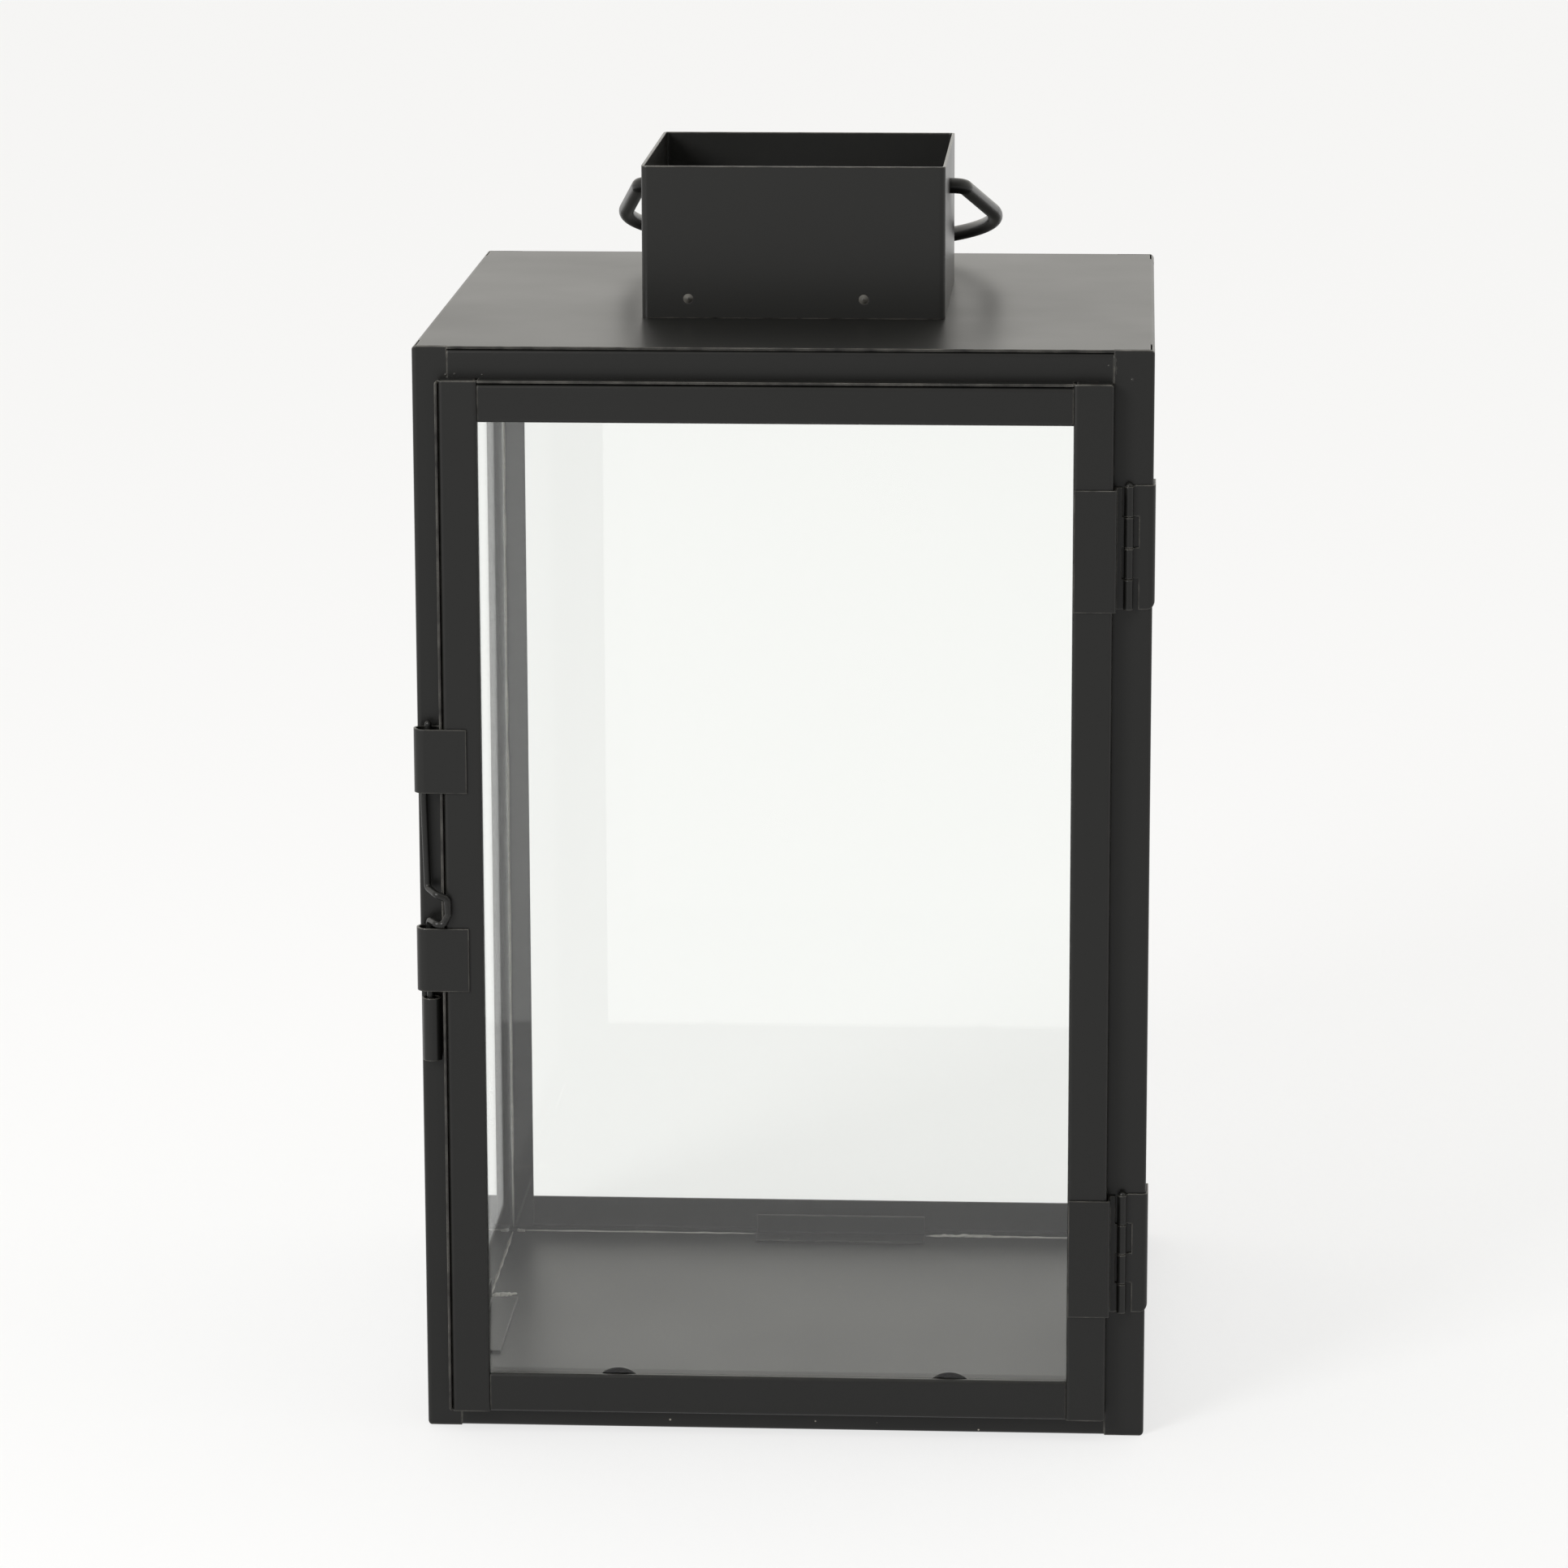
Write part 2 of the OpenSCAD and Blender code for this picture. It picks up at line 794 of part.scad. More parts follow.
// One side of the bail in its own plane, from the head inside the wall to the arch
module bail_side() {
  head_gap = 0.8;
  head_l = 1.5;
  head_r = 3.4;
  head_x = chimney_in - head_gap;
  bend_x = bail_x - bend_run;
  translate([head_x - head_l, 0, 0])
    rotate([0, 90, 0])
    cylinder(r = head_r, h = head_l);
  translate([head_x - eps, 0, 0])
    rotate([0, 90, 0])
    cylinder(r = bail_r, h = bend_x - head_x + eps + joint);
  translate([bend_x, bail_bend, 0])
    rotate([0, 0, -90])
    rotate_extrude(angle = 90 - bail_flare)
    translate([bail_bend, 0])
    circle(bail_r + swell);
  translate(concat([bail_x, 0] + (bend_run - joint) * leg_dir, [0]))
    rotate([-90, 0, -bail_flare])
    cylinder(r = bail_r, h = bail_leg + 2 * joint);
}

module bail() {
  color([0.16, 0.16, 0.16])
    translate([0, 0, bail_z])
    rotate([-bail_rest, 0, 0]) {
      bail_side();
      mirror([1, 0, 0]) bail_side();
      translate([0, arch_y, 0])
        rotate([0, 0, -bail_flare])
        rotate_extrude(angle = 180 + 2 * bail_flare)
        translate([arch_r, 0])
        circle(bail_r + swell);
    }
}

// ---- what is drawn ----

base_tray();
roof_plate();
chimney();
post(-1, -1, post_left);  // post_front_left
post(1, -1, post_right);  // post_front_right
post(-1, 1, post_side);  // post_rear_left
post(1, 1, post_side);  // post_rear_right
top_rail_front();
top_rail_rear();
top_rail_left();
top_rail_right();
glass_left();
glass_right();
glass_rear();
clip_left();
clip_right();
clip_rear();
post_leaf_lower();
post_leaf_upper();
hinge_pin_lower();
hinge_pin_upper();
keeper();
door_stile_left();
door_stile_right();
door_rail_top_bar();
door_rail_bottom_bar();
door_glass();
door_leaf_lower();
door_leaf_upper();
strap_lower();
strap_upper();
latch_bolt();
bail();
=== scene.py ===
# A black steel candle lantern: glazed sides, a hinged door, an open chimney and a wire bail.
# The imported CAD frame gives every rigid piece; this script gives their finish, the welds and
# the sealant, and sets the lantern on a pale floor in soft light.

import math

import bpy
import numpy as np
from mathutils import Matrix, Vector


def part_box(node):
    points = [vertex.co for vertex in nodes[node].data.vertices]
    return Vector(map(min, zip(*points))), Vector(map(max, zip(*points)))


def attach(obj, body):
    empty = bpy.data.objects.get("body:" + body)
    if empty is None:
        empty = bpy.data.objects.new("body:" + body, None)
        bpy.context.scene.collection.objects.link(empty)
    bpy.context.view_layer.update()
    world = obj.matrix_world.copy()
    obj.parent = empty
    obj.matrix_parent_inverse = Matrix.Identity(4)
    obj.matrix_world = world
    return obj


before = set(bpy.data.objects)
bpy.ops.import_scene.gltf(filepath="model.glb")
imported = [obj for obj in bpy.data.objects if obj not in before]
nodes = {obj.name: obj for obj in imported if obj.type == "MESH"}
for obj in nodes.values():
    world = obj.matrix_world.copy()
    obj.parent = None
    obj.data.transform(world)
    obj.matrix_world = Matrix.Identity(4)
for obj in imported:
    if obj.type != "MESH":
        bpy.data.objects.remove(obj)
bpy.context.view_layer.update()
scene = bpy.context.scene
MM = 0.001


# ---- powder-coated steel ----
# Folded steel sheet with a satin black polyester powder coat, sprayed and oven-cured. It is
# nearly black in front light, mirrors a pale room at a low angle, and has a faint orange peel.

def linear(hex_colour):
    """sRGB hex to linear RGBA: each channel c is c/12.92 below 0.04045, else ((c+0.055)/1.055)^2.4."""
    channels = [int(hex_colour[i:i + 2], 16) / 255 for i in (1, 3, 5)]
    return [c / 12.92 if c <= 0.04045 else ((c + 0.055) / 1.055) ** 2.4 for c in channels] + [1.0]


def open_inputs(node):
    """The node's inputs in use, by number and by name: a Mix node has a set for each kind of data."""
    used = [i for i in node.inputs if i.enabled]
    return {**dict(enumerate(used)), **{i.name: i for i in reversed(used)}}


def add(material, kind, settings=None, **links):
    """Adds a node of that kind, sets its properties and its inputs, and links sockets to its inputs.
    An input goes by its name, with _ for a space, or by its number, as in_0."""
    node = material.node_tree.nodes.new(kind)
    for name, value in (settings or {}).items():
        if isinstance(name, str) and hasattr(node, name) and name not in node.inputs:
            setattr(node, name, value)
        else:
            open_inputs(node)[name].default_value = value
    for name, socket in links.items():
        key = int(name[3:]) if name.startswith("in_") else name.replace("_", " ")
        material.node_tree.links.new(socket, open_inputs(node)[key])
    return node


def link(material, output, socket):
    """Joins the output to the input in the material, or the world, that holds both."""
    material.node_tree.links.new(output, socket)


def new_material(name):
    """A material with no nodes yet."""
    material = bpy.data.materials.new(name)
    material.use_nodes = True
    material.node_tree.nodes.clear()
    return material


def finish_material(material, shader):
    """Makes the shader the material's surface."""
    output = add(material, "ShaderNodeOutputMaterial")
    link(material, shader.outputs[0], output.inputs["Surface"])
    return material


def powder_coat(name, colour, roughness, bend=0.75, film=0.0, grains=0.0):
    """Satin powder coat with its middle roughness, the radius of its bends in mm, and how strongly a
    film of dust and grains of dust show on it, from 0 to 1."""
    m = new_material(name)
    place = add(m, "ShaderNodeTexCoord").outputs["Object"]

    # Orange peel, soft waves 1.6 mm apart, under a finer satin grain 0.5 mm apart
    peel_pitch, satin_pitch, satin_share = 1.6 * MM, 0.5 * MM, 0.25
    peel = add(m, "ShaderNodeTexNoise", {"Scale": 1 / peel_pitch, "Detail": 1.0}, Vector=place)
    satin = add(m, "ShaderNodeTexNoise", {"Scale": 1 / satin_pitch, "Detail": 2.0}, Vector=place)
    surface = add(m, "ShaderNodeMath", {"operation": "MULTIPLY_ADD", 1: satin_share},
                  in_0=satin.outputs["Fac"], in_2=peel.outputs["Fac"])
    # Nibs, 0.7 mm bumps over grit under the coat: a grit lies in each 12 mm cube, seldom near the surface
    nib_cell, nib_radius, nib_height = 12, 0.35, 3.0
    nib_cells = add(m, "ShaderNodeTexVoronoi", {"Scale": 1 / (nib_cell * MM)}, Vector=place)
    nib = add(m, "ShaderNodeMapRange", {
        "interpolation_type": "SMOOTHSTEP", "From Min": nib_radius / nib_cell, "From Max": 0.0,
        "To Max": nib_height}, Value=nib_cells.outputs["Distance"])
    height = add(m, "ShaderNodeMath", {"operation": "ADD"},
                 in_0=surface.outputs[0], in_1=nib.outputs["Result"])

    # The radius of the bends, and paler edges in patches 5 mm apart: partly coat drawn thin, partly a
    # painted highlight along the bends
    edge_patch_pitch = 5 * MM
    bends = add(m, "ShaderNodeBevel", {"samples": 6, "Radius": bend * MM})
    flat = add(m, "ShaderNodeNewGeometry")
    facing = add(m, "ShaderNodeVectorMath", {"operation": "DOT_PRODUCT"},
                 in_0=bends.outputs["Normal"], in_1=flat.outputs["Normal"])
    thin_coat_and_painted_highlight = add(m, "ShaderNodeMapRange", {"From Min": 0.998, "From Max": 0.85},
               Value=facing.outputs["Value"])
    edge_patch_noise = add(m, "ShaderNodeTexNoise", {"Scale": 1 / edge_patch_pitch, "Detail": 3.0}, Vector=place)
    edge_patches = add(m, "ShaderNodeMapRange", {"From Min": 0.25, "From Max": 0.65}, Value=edge_patch_noise.outputs["Fac"])
    edges = add(m, "ShaderNodeMath", {"operation": "MULTIPLY"},
                in_0=thin_coat_and_painted_highlight.outputs["Result"], in_1=edge_patches.outputs["Result"])
    # Paler grey at the bends and edges: a painted highlight, partly thin coat
    worn_and_painted_highlight = add(m, "ShaderNodeMix", {"data_type": "RGBA", "A": linear(colour), "B": linear("#62605b")},
               Factor=edges.outputs[0])

    # Slow change of gloss over 60 mm, where the coat is thicker or thinner
    drift_pitch, drift_reach, relief = 60 * MM, 0.05, 0.014 * MM
    drift = add(m, "ShaderNodeTexNoise", {"Scale": 1 / drift_pitch, "Detail": 3.0}, Vector=place)
    gloss = add(m, "ShaderNodeMapRange", {
        "To Min": roughness - drift_reach, "To Max": roughness + drift_reach}, Value=drift.outputs["Fac"])
    bump = add(m, "ShaderNodeBump", {"Strength": 0.35, "Distance": relief},
               Height=height.outputs[0], Normal=bends.outputs["Normal"])
    coat = add(m, "ShaderNodeBsdfPrincipled", {"Specular IOR Level": 0.3}, Normal=bump.outputs["Normal"])
    if not film and not grains:
        link(m, worn_and_painted_highlight.outputs["Result"], coat.inputs["Base Color"])
        link(m, gloss.outputs["Result"], coat.inputs["Roughness"])
        return finish_material(m, coat)

    # House dust: a film in patches 30 mm wide, and single grains up to 0.8 mm across
    film_pitch, grain_cell, grain_radius, dust_dullness = 30 * MM, 5, 0.4, 0.6
    patches = add(m, "ShaderNodeTexNoise", {"Scale": 1 / film_pitch, "Detail": 4.0}, Vector=place)
    haze = add(m, "ShaderNodeMapRange", {"From Min": 0.35, "From Max": 0.75, "To Max": film},
               Value=patches.outputs["Fac"])
    grain_cells = add(m, "ShaderNodeTexVoronoi", {"Scale": 1 / (grain_cell * MM)}, Vector=place)
    size = add(m, "ShaderNodeSeparateColor", Color=grain_cells.outputs["Color"])
    reach = add(m, "ShaderNodeMapRange", {
        "From Min": 0.6, "From Max": 1.0, "To Max": grain_radius / grain_cell}, Value=size.outputs["Red"])
    speck = add(m, "ShaderNodeMath", {"operation": "LESS_THAN"},
                in_0=grain_cells.outputs["Distance"], in_1=reach.outputs["Result"])
    dust = add(m, "ShaderNodeMath", {"operation": "MULTIPLY_ADD", 1: grains},
               in_0=speck.outputs[0], in_2=haze.outputs["Result"])
    dusty = add(m, "ShaderNodeMix", {"data_type": "RGBA", "B": linear("#9b968c")},
                Factor=dust.outputs[0], A=worn_and_painted_highlight.outputs["Result"])
    dull = add(m, "ShaderNodeMath", {"operation": "MULTIPLY_ADD", 1: dust_dullness},
               in_0=dust.outputs[0], in_2=gloss.outputs["Result"])
    link(m, dusty.outputs["Result"], coat.inputs["Base Color"])
    link(m, dull.outputs[0], coat.inputs["Roughness"])
    return finish_material(m, coat)


def dress(material, *names):
    """Gives the CAD nodes of these names this material."""
    for name in names:
        slots = nodes[name].data.materials
        slots.clear()
        slots.append(material)


coat_colour = "#131312"
sheet_coat = powder_coat("satin_black_powder_coat", coat_colour, 0.34)
tray_coat = powder_coat("dusty_black_powder_coat", coat_colour, 0.38, film=0.008, grains=0.9)
roof_coat = powder_coat("satin_black_roof_coat", coat_colour, 0.35)
# The chimney has the same coat, painted a shade paler: painted light that brightens its shaded walls.
chimney_coat_painted_paler = powder_coat("satin_black_chimney_coat_painted_paler", "#1a1a19", 0.31)
hardware_coat = powder_coat("satin_black_hardware_coat", coat_colour, 0.31, bend=0.6)
glass_nodes = ["glass_left", "glass_right", "glass_rear", "door_glass"]
tray_nodes = ["base_tray", "clip_left", "clip_right", "clip_rear"]
hardware_nodes = ["post_leaf_lower", "post_leaf_upper", "hinge_pin_lower", "hinge_pin_upper", "keeper",
                  "door_leaf_lower", "door_leaf_upper", "strap_lower", "strap_upper", "latch_bolt", "bail"]
dress(hardware_coat, *hardware_nodes)
dress(tray_coat, *tray_nodes)
dress(roof_coat, "roof_plate")
dress(chimney_coat_painted_paler, "chimney")
dressed = ["roof_plate", "chimney"] + glass_nodes + tray_nodes + hardware_nodes
dress(sheet_coat, *[n for n in nodes if n not in dressed])


# ---- welds ----
# The box is spot-welded and tacked before it is coated. A run of weld shows at the right end of
# the front rail, a few grains of spatter beside it, and two spot-weld pips at the chimney's foot.

def skin(name, rings, material):
    """Joins rings of points, an array (rings, points, 3), into one closed skin with a cap at each end.
    Its side's volume is the sum of (a x b) . c / 6 over its triangles, taken from the middle point;
    where that is negative the points turn round, so that the faces look outwards."""
    count, around = rings.shape[:2]
    i, j = np.meshgrid(np.arange(count - 1), np.arange(around), indexing="ij")
    k = (j + 1) % around
    faces = np.stack([i * around + j, i * around + k, (i + 1) * around + k, (i + 1) * around + j], axis=-1)
    faces = faces.reshape(-1, 4)
    corners = rings.reshape(-1, 3)[faces] - rings.mean(axis=(0, 1))
    volume = sum(np.einsum("ij,ij->i", np.cross(corners[:, 0], corners[:, n]), corners[:, n + 1]).sum()
                 for n in (1, 2))
    if volume < 0:
        rings = rings[:, ::-1]
    start = tuple(range(around))[::-1]
    end = tuple(range((count - 1) * around, count * around))
    mesh = bpy.data.meshes.new(name)
    mesh.from_pydata(rings.reshape(-1, 3).tolist(), [], faces.tolist() + [start, end])
    mesh.polygons.foreach_set("use_smooth", np.ones(len(mesh.polygons), dtype=bool))
    mesh.materials.append(material)
    piece = bpy.data.objects.new(name, mesh)
    scene.collection.objects.link(piece)
    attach(piece, "body")


def uneven(count, seed, low, high, spacing=5):
    """A smooth random row from low to high: a random height every few stations, eased from one to the
    next by 3s^2 - 2s^3, where s is the share of the way between them."""
    heights = np.random.default_rng(seed).uniform(low, high, count // spacing + 2)
    place = np.arange(count) / spacing
    before = place.astype(int)
    s = place - before
    return heights[before] + (heights[before + 1] - heights[before]) * (3 * s ** 2 - 2 * s ** 3)


def ridge(name, start, end, across, proud, widths, heights, seed, material, stations=40):
    """A lumpy ridge from start to end. Each section is the half ellipse (w cos a, h sin a), a from 0 to
    180 degrees, that lies across the run and stands proud of the sheet, its base sunk into it; w and h
    follow their rows, wander, and fall towards 0 at the ends."""
    t = np.linspace(0, 1, stations)
    taper = np.sqrt(np.clip(1 - (2 * t - 1) ** 6, 0.004, 1))
    width = np.interp(t, np.linspace(0, 1, len(widths)), widths)
    height = np.interp(t, np.linspace(0, 1, len(heights)), heights)
    half = width / 2 * uneven(stations, seed, 0.65, 1.25) * taper
    tall = height * uneven(stations, seed + 1, 0.65, 1.2) * taper
    sway = uneven(stations, seed + 2, -0.3, 0.3) * half
    a = np.linspace(0, np.pi, 9)
    run = np.outer(1 - t, start) + np.outer(t, end) + np.outer(sway, across)
    rings = (run[:, None] + (half[:, None] * np.cos(a))[..., None] * np.array(across)
             + (tall[:, None] * np.sin(a) - sunk)[..., None] * np.array(proud))
    skin(name, rings * MM, material)


def pip(name, centre, radius, height, material):
    """A low bell-shaped bump on a face that looks forward (-Y): at share s of its radius it is
    h * cos(90 degrees * s)^2 high, less the depth that it is sunk."""
    share = np.append(np.linspace(1, 0.1, 9), 0.03)
    a = np.linspace(0, 2 * np.pi, 20, endpoint=False)
    r = radius * share
    rise = height * np.cos(np.pi / 2 * share) ** 2 - sunk
    rings = (np.array(centre) + (r[:, None] * np.cos(a))[..., None] * X
             + (r[:, None] * np.sin(a))[..., None] * Z - rise[:, None, None] * Y)
    skin(name, rings * MM, material)


X, Y, Z = np.eye(3)
sunk = 0.05
# The coat over the welds is a paler grey than the rest: a painted highlight on the bead and the spatter.
weld_coat_painted_highlight = powder_coat("powder_coat_over_weld_painted_highlight", "#2b2b29", 0.28, bend=0.2)
post_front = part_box("post_front_right")[0][1] / MM
rail_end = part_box("top_rail_front")[1][0] / MM
rail_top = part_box("top_rail_front")[1][2] / MM
weld_lean, weld_gap, weld_length = 0.8, 0.6, 6.0
ridge("rail_weld", (rail_end, post_front, rail_top - weld_gap),
      (rail_end + weld_lean, post_front, rail_top - weld_gap - weld_length),
      X, -Y, (1.0, 1.2, 0.6, 0.4), (0.3, 0.35, 0.2, 0.2), 11, weld_coat_painted_highlight)

# Spatter: place across, height and size of each grain, in mm
spatter = [(-99.8, 326.5, 0.5), (-97.2, 326.7, 0.4), (-89.0, 326.5, 0.35), (103.4, 326.3, 0.5),
           (96.4, 330.4, 0.35)]
for number, (x, z, size) in enumerate(spatter, 1):
    pip(f"weld_spatter_{number}", (x, post_front, z), 1.2 * size, 0.55 * size, weld_coat_painted_highlight)

chimney_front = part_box("chimney")[0][1] / MM
spot_height, spot_radius, spot_rise = 341.1, 2.1, 0.2
for side, x in (("left", -32.0), ("right", 21.4)):
    pip(f"spot_weld_{side}", (x, chimney_front, spot_height), spot_radius, spot_rise, chimney_coat_painted_paler)


# ---- panes ----
# Clear float glass 3 mm thick with ground edges. It shows as faint reflections in front light
# and as a mirror at a low angle; its edges look dull and faintly green.

def float_glass(name, axis):
    """Clear glass whose ground edges are the faces that don't look along the axis that the pane faces."""
    m = new_material(name)
    coordinates = add(m, "ShaderNodeTexCoord")
    facing = add(m, "ShaderNodeSeparateXYZ", Vector=coordinates.outputs["Normal"]).outputs[axis]
    turned = add(m, "ShaderNodeMath", {"operation": "ABSOLUTE"}, in_0=facing)
    ground = add(m, "ShaderNodeMath", {"operation": "LESS_THAN", 1: 0.5}, in_0=turned.outputs[0])
    tint = add(m, "ShaderNodeMix", {"data_type": "RGBA", "A": linear("#fdfefd"), "B": linear("#c3dcd0")},
               Factor=ground.outputs[0])
    # Grinding marks 0.4 mm apart and up to 0.05 mm deep, on the edges only
    mark_pitch, mark_depth, edge_roughness = 0.4 * MM, 0.05 * MM, 0.45
    marks = add(m, "ShaderNodeTexNoise", {"Scale": 1 / mark_pitch, "Detail": 3.0},
                Vector=coordinates.outputs["Object"])
    scored = add(m, "ShaderNodeMath", {"operation": "MULTIPLY"},
                 in_0=marks.outputs["Fac"], in_1=ground.outputs[0])
    relief = add(m, "ShaderNodeBump", {"Strength": 0.6, "Distance": mark_depth},
                 Height=scored.outputs[0])
    dull = add(m, "ShaderNodeMath", {"operation": "MULTIPLY", 1: edge_roughness}, in_0=ground.outputs[0])
    pane = add(m, "ShaderNodeBsdfPrincipled", {"Transmission Weight": 1.0, "IOR": 1.5},
               Base_Color=tint.outputs["Result"], Roughness=dull.outputs[0], Normal=relief.outputs["Normal"])
    return finish_material(m, pane)


dress(float_glass("clear_float_glass_side", "X"), "glass_left", "glass_right")
dress(float_glass("clear_float_glass_front", "Y"), "glass_rear", "door_glass")


# ---- sealant ----
# The panes are bedded in clear silicone, run by hand along their feet and up the rear corners.
# It has set cloudy and uneven, with a lump in one corner and a smear behind the left clip.

def silicone():
    """Cloudy silicone rubber that lets a third of the light through."""
    m = new_material("clear_silicone_sealant")
    place = add(m, "ShaderNodeTexCoord").outputs["Object"]
    # Cloudy patches 2 mm wide, and finger marks 0.8 mm apart
    cloud_pitch, mark_pitch, mark_depth = 2 * MM, 0.8 * MM, 0.15 * MM
    cloud = add(m, "ShaderNodeTexNoise", {"Scale": 1 / cloud_pitch, "Detail": 2.0}, Vector=place)
    colour = add(m, "ShaderNodeMix", {"data_type": "RGBA", "A": linear("#a5a39c"), "B": linear("#dedcd5")},
                 Factor=cloud.outputs["Fac"])
    marks = add(m, "ShaderNodeTexNoise", {"Scale": 1 / mark_pitch, "Detail": 2.0}, Vector=place)
    relief = add(m, "ShaderNodeBump", {"Strength": 0.7, "Distance": mark_depth},
                 Height=marks.outputs["Fac"])
    rubber = add(m, "ShaderNodeBsdfPrincipled", {
        "Roughness": 0.35, "IOR": 1.41, "Transmission Weight": 0.35},
                 Base_Color=colour.outputs["Result"], Normal=relief.outputs["Normal"])
    return finish_material(m, rubber)


def bead(name, start, end, first, second, size, seed, stations=90):
    """A bead in the corner of two faces: its section is a quarter of an ellipse, (w cos a, h sin a), a
    from 0 to 90 degrees, closed through the corner. w and h wander along the run, and a gap keeps it
    clear of the faces."""
    gap = 0.02
    t = np.linspace(0, 1, stations)
    taper = np.sqrt(np.clip(1 - (2 * t - 1) ** 8, 0.01, 1))
    wide = size * uneven(stations, seed, 0.6, 1.4) * taper
    tall = size * uneven(stations, seed + 1, 0.7, 1.3) * taper
    a = np.linspace(0, np.pi / 2, 6)
    corner = np.zeros((stations, 1))
    out = np.append(np.outer(wide, np.cos(a)), corner, axis=1) + gap
    rise = np.append(np.outer(tall, np.sin(a)), corner, axis=1) + gap
    run = np.outer(1 - t, start) + np.outer(t, end)
    rings = run[:, None] + out[..., None] * np.array(first) + rise[..., None] * np.array(second)
    skin(name, rings * MM, sealant)


sealant = silicone()
floor_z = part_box("glass_rear")[0][2] / MM
pane_left, pane_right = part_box("glass_left")[1][0] / MM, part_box("glass_right")[0][0] / MM
pane_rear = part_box("glass_rear")[0][1] / MM
pane_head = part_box("top_rail_rear")[0][2] / MM
pane_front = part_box("post_front_left")[1][1] / MM
rear_clip_left, rear_clip_right = (corner[0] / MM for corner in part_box("clip_rear"))
side_clip_front, side_clip_rear = (corner[1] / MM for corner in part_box("clip_left"))

# Along the side panes' feet behind and in front of each clip, and up the rear corners
for side, x, inward in (("left", pane_left, X), ("right", pane_right, -X)):
    bead(f"sealant_{side}_rear", (x, side_clip_rear + 4.5, floor_z), (x, pane_rear - 1.4, floor_z),
         inward, Z, 0.42, 21)
    bead(f"sealant_{side}_front", (x, pane_front, floor_z), (x, side_clip_front - 0.5, floor_z),
         inward, Z, 0.4, 31)
    bead(f"sealant_{side}_corner", (x, pane_rear, floor_z + 1.2), (x, pane_rear, pane_head),
         inward, -Y, 0.45, 41, 160)

# Along the rear pane's foot on both sides of its clip, thicker just right of the clip
for part, first_x, last_x, size, seed in (
        ("left", pane_left + 1.2, rear_clip_left - 0.4, 0.4, 51),
        ("right", rear_clip_right + 0.4, pane_right - 1.2, 0.45, 61),
        ("lump", rear_clip_right + 1.5, rear_clip_right + 24, 0.8, 71)):
    bead(f"sealant_foot_{part}", (first_x, pane_rear, floor_z), (last_x, pane_rear, floor_z),
         -Y, Z, size, seed)

# A lump in the left rear corner, and a smear behind the left clip
base_z = floor_z + sunk
ridge("sealant_corner_lump", (pane_left + 1.4, pane_rear - 0.9, base_z),
      (pane_left + 4.2, pane_rear - 1.2, base_z),
      Y, Z, (1.0, 1.2), (1.1, 0.7), 81, sealant, 30)
ridge("sealant_clip_smear", (pane_left + 0.5, side_clip_rear + 1.2, base_z),
      (pane_left + 8.6, side_clip_rear + 6.2, base_z),
      Y, Z, (6.4, 5.2, 3.6, 1.4), (1.9, 1.4, 0.9, 0.4), 91, sealant, 60)


# ---- floor ----
# A plain pale matt floor, lit a little from within, so that it fades into the light.

def studio_floor():
    """A square of four corners at the height of the lantern's foot."""
    half = 14.0
    mesh = bpy.data.meshes.new("studio_floor")
    corners = [(-half, -half, 0), (half, -half, 0), (half, half, 0), (-half, half, 0)]
    mesh.from_pydata(corners, [], [(0, 1, 2, 3)])
    m = new_material("matt_pale_floor")
    mesh.materials.append(finish_material(m, add(m, "ShaderNodeBsdfPrincipled", {
        "Base Color": linear("#7c7c7c"), "Roughness": 0.9, "Specular IOR Level": 0.1,
        "Emission Color": linear("#ffffff"), "Emission Strength": 0.67})))
    floor = bpy.data.objects.new("studio_floor", mesh)
    scene.collection.objects.link(floor)


studio_floor()


# ---- light ----
# A white room that is brighter behind the lantern, a wide weak light overhead, and a soft light
# at the front left that models the sheet's folds.

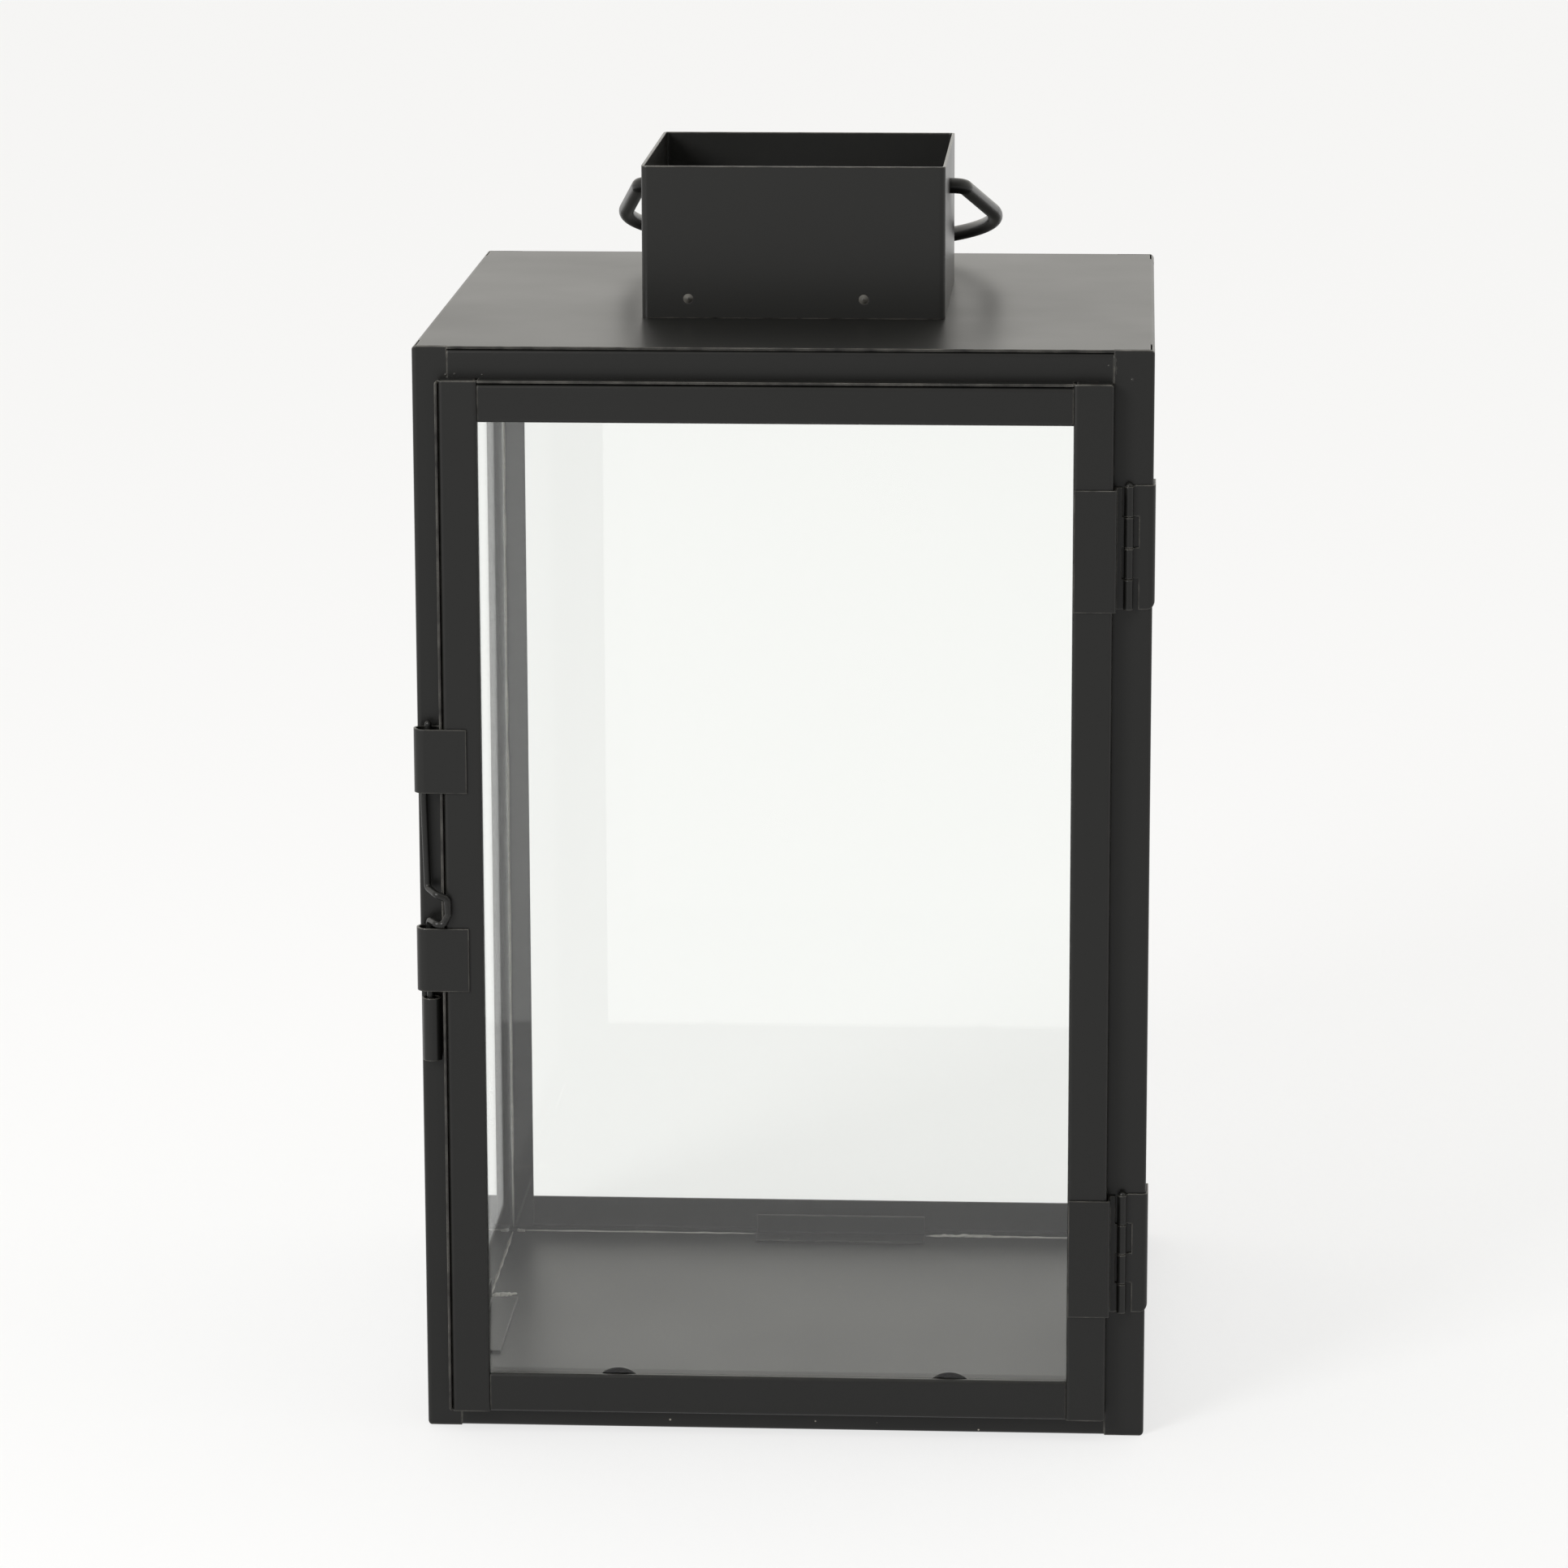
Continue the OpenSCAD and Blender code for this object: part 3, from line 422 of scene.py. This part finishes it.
def white_room(front, back):
    """A room whose brightness runs evenly from the front (-Y) to the middle, and stays so behind."""
    world = bpy.data.worlds.new("white_room")
    world.use_nodes = True
    world.node_tree.nodes.clear()
    direction = add(world, "ShaderNodeTexCoord").outputs["Generated"]
    depth = add(world, "ShaderNodeSeparateXYZ", Vector=direction).outputs["Y"]
    strength = add(world, "ShaderNodeMapRange", {
        "From Min": -0.9, "From Max": 0.0, "To Min": front, "To Max": back}, Value=depth)
    room = add(world, "ShaderNodeBackground", {"Color": linear("#fffdf7")},
               Strength=strength.outputs["Result"])
    output = add(world, "ShaderNodeOutputWorld")
    link(world, room.outputs[0], output.inputs["Surface"])
    scene.world = world


def soft_light(name, place, target, size, power):
    """A square lamp at that place, turned to the target, with its side in metres and power in watts."""
    lamp = bpy.data.lights.new(name, "AREA")
    lamp.shape = "SQUARE"
    lamp.size = size
    lamp.energy = power
    lamp_object = bpy.data.objects.new(name, lamp)
    turn = (Vector(target) - Vector(place)).to_track_quat("-Z", "Y").to_matrix().to_4x4()
    lamp_object.matrix_world = Matrix.Translation(place) @ turn
    scene.collection.objects.link(lamp_object)


white_room(0.4, 1.28)
soft_light("overhead_light", (-0.2, 0.1, 2.4), (0, 0.1, 0), 2.4, 6)
soft_light("front_left_light", (-1.1, -1.6, 1.1), (0, 0, 0.2), 0.7, 35)


# ---- camera ----
# The photograph's view: a long lens, a little above the lantern and to the right of it.

focal_px = 7484.3
image_px = 1932
camera_place = Vector((0.1037, -1.8818, 0.5993))
yaw, pitch, roll = (math.radians(a) for a in (-3.333, 12.56, -0.144))
forward = Vector((math.sin(yaw) * math.cos(pitch), math.cos(yaw) * math.cos(pitch), -math.sin(pitch)))
level = Vector((math.cos(yaw), -math.sin(yaw), 0))
upward = level.cross(forward)
right = math.cos(roll) * level + math.sin(roll) * upward
up = math.cos(roll) * upward - math.sin(roll) * level

lens = bpy.data.cameras.new("photo_camera")
lens.sensor_width = 36
lens.lens = focal_px / image_px * lens.sensor_width
lens.clip_end = 100
camera = bpy.data.objects.new("photo_camera", lens)
axes = Matrix((right, up, -forward)).transposed()
camera.matrix_world = Matrix.Translation(camera_place) @ axes.to_4x4()
scene.collection.objects.link(camera)
scene.camera = camera
scene.view_settings.view_transform = "Standard"
